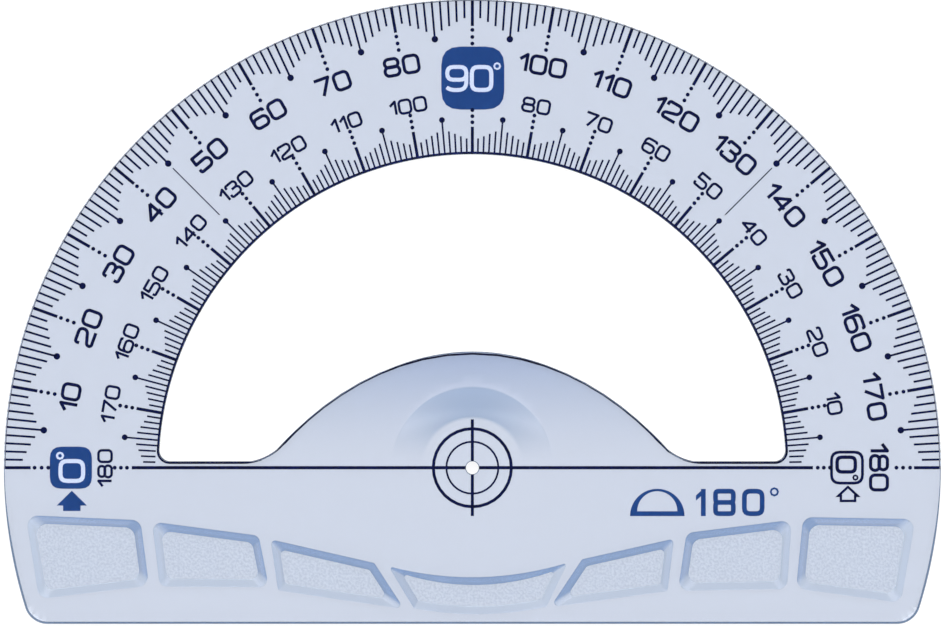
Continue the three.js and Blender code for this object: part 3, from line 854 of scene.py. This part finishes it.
def cut_up(shapes):
    """Points and triangles of the flat area within the loops of the shapes."""
    flat, edges = [], []
    for outer, holes in shapes:
        for loop in (outer, *holes):
            start, count = len(flat), len(loop)
            edges += [(start + i, start + (i + 1) % count) for i in range(count)]
            flat += loop
    places, _, triangles, *_ = delaunay_2d_cdt(flat, edges, [], 0, 1e-5, True)
    return places, triangles


def triangle_middle(places, triangle):
    return sum((places[i] for i in triangle), Vector((0, 0))) / 3


def print_film(name, shapes):
    """One film of ink: the shapes joined into one outline, as thick as the CAD films."""
    places, triangles = cut_up(shapes)
    kept = [triangle for triangle in triangles if covers(shapes, triangle_middle(places, triangle))]
    shell = Shell()
    used = sorted({i for triangle in kept for i in triangle})
    low = {i: shell.add(places[i].x, places[i].y, 0) for i in used}
    high = {i: shell.add(places[i].x, places[i].y, ink_top) for i in used}
    edges = {(a, b) for t in kept for a, b in zip(t, (*t[1:], t[0]))}
    for triangle in kept:
        shell.face([high[i] for i in triangle])
        shell.face([low[i] for i in reversed(triangle)])
    for a, b in edges:
        if (b, a) not in edges:
            shell.face([low[a], low[b], high[b], high[a]])
    thing = shell.to_object(name, [NAVY_INK], smooth=False)
    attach(thing, "root")


OUTER_FIGURES = {"radius": 52.31, "height": 2.58}
INNER_FIGURES = {"radius": 47.07, "height": 2.02}
LAST_INSET = 0.2                  # the outer 180 stands this much nearer to the pin hole


def print_number(name, value, degree, radius, height):
    """A number that stands at an angle from the +X axis, with its top outwards."""
    angle = math.radians(degree)
    shapes = turned(figure_shapes(str(value), height), angle - math.pi / 2, polar(radius, angle))
    print_film(name, shapes)


def print_figures():
    for value in range(10, 180, 10):
        if value != 90:
            print_number(f"outer_number_{value}", value, 180 - value, **OUTER_FIGURES)
            print_number(f"inner_number_{value}", value, value, **INNER_FIGURES)
    print_number("outer_number_180", 180, 0, OUTER_FIGURES["radius"] - LAST_INSET, OUTER_FIGURES["height"])
    print_number("inner_number_180", 180, 180, **INNER_FIGURES)


DOT_RADIUS = 0.255
OUTER_DOTS = (56.1, 55.2, 54.35)
INNER_DOTS = (44.26, 45.04, 45.83)


def print_dots(name, radii, degrees):
    """Three dots lead from each ten's line towards its number."""
    shapes = []
    for degree in degrees:
        shapes += [disc_shape(polar(radius, math.radians(degree)), DOT_RADIUS) for radius in radii]
    print_film(name, shapes)


def restyle_ink_nodes():
    """The CAD's own films keep their shape and get the ink of their slot."""
    slots = {part["node"]: part["material_slot"] for part in frame["record"]["subparts"]}
    for name, node in frame["nodes"].items():
        if slots[name] in INKS:
            node.data.materials.clear()
            node.data.materials.append(INKS[slots[name]])


# ---- table, light and camera ----

# In metres.
TABLE_HALF = 3.0
TABLE_TOP = -0.00002              # just under the ink
TABLE_DIM = (0.165, 0.165, 0.165)
TABLE_BRIGHT = (0.175, 0.175, 0.175)
TABLE_GLOW = 0.86


def make_table():
    """A white light table."""
    corners = [(-TABLE_HALF, -TABLE_HALF), (TABLE_HALF, -TABLE_HALF),
               (TABLE_HALF, TABLE_HALF), (-TABLE_HALF, TABLE_HALF)]
    mesh = bpy.data.meshes.new("table")
    mesh.from_pydata([(x, y, TABLE_TOP) for x, y in corners], [], [(0, 1, 2, 3)])
    nodes = Nodes("white_table")
    nodes.shader.inputs["Roughness"].default_value = 0.9
    nodes.shader.inputs["Specular IOR Level"].default_value = 0.0
    nodes.link(nodes.mix(nodes.noise(30), TABLE_DIM, TABLE_BRIGHT), nodes.shader.inputs["Base Color"])
    nodes.shader.inputs["Emission Color"].default_value = (1.0, 1.0, 1.0, 1)
    nodes.shader.inputs["Emission Strength"].default_value = TABLE_GLOW
    mesh.materials.append(nodes.material)
    table = bpy.data.objects.new("table", mesh)
    bpy.context.scene.collection.objects.link(table)


SOFTBOX_TILT = math.radians(25)   # towards the curved edge
SOFTBOX_ANGLES = (25, 40)         # degrees from its middle where it starts to fade, and where it ends
SOFTBOX_LIGHT = 2.2
ROOM_LIGHT = 0.62
CAMERA_ANGLES = (7.0, 12.0)       # the camera's dark place, straight above
CAMERA_LIGHT = 0.02
EXPOSURE = 2.0


def make_light():
    """A large softbox beyond the curved edge, with the camera beside it, in a pale room."""
    world = bpy.data.worlds.new("studio")
    bpy.context.scene.world = world
    world.use_nodes = True
    tree = world.node_tree
    background = tree.nodes["Background"]
    direction = tree.nodes.new("ShaderNodeTexCoord").outputs["Generated"]

    def cone(axis, angles, inside, outside):
        """Inside within the first angle of the axis, and outside beyond the second."""
        dot = tree.nodes.new("ShaderNodeVectorMath")
        dot.operation = "DOT_PRODUCT"
        tree.links.new(direction, dot.inputs[0])
        dot.inputs[1].default_value = axis
        fade = tree.nodes.new("ShaderNodeMapRange")
        fade.interpolation_type = "SMOOTHSTEP"
        tree.links.new(dot.outputs["Value"], fade.inputs["Value"])
        near, far = (math.cos(math.radians(a)) for a in angles)
        for key, number in zip(SPAN_INPUTS, (far, near, outside, inside)):
            fade.inputs[key].default_value = number
        return fade.outputs["Result"]

    softbox = cone((0, math.sin(SOFTBOX_TILT), math.cos(SOFTBOX_TILT)), SOFTBOX_ANGLES,
                   SOFTBOX_LIGHT * EXPOSURE, ROOM_LIGHT * EXPOSURE)
    camera_place = cone((0, 0, 1), CAMERA_ANGLES, CAMERA_LIGHT, 1.0)
    strength = tree.nodes.new("ShaderNodeMath")
    strength.operation = "MULTIPLY"
    tree.links.new(softbox, strength.inputs[0])
    tree.links.new(camera_place, strength.inputs[1])
    tree.links.new(strength.outputs[0], background.inputs["Strength"])
    background.inputs["Color"].default_value = (1.0, 1.0, 1.0, 1)


# In metres.
VIEW_DISTANCE = 1.5
VIEW_WIDTH = 0.12115              # what the picture takes in, at the table
VIEW_SHIFT = (0.00002, -0.00024)  # of the picture's middle from the plate's


def make_camera():
    """Straight above, far off, so that the view is close to a plan."""
    data = bpy.data.cameras.new("camera")
    camera = bpy.data.objects.new("camera", data)
    bpy.context.scene.collection.objects.link(camera)
    centre = (plate_low + plate_high) / 2
    data.sensor_width = 36
    data.lens = data.sensor_width * VIEW_DISTANCE / VIEW_WIDTH
    data.clip_start = 0.01
    data.clip_end = 20
    camera.location = (centre.x + VIEW_SHIFT[0], centre.y + VIEW_SHIFT[1], VIEW_DISTANCE)
    bpy.context.scene.camera = camera


make_camera()
make_table()
make_light()
make_plate()
restyle_ink_nodes()
print_figures()
print_dots("outer_ten_dots", OUTER_DOTS, range(10, 180, 10))
print_dots("inner_ten_dots", INNER_DOTS, range(10, 180, 10))
print_dots("zero_line_dots", (*OUTER_DOTS, *INNER_DOTS), (0, 180))

bpy.context.scene.view_settings.view_transform = "Standard"
bpy.context.scene.cycles.blur_glossy = 0          # the plate stays clear after a diffuse bounce
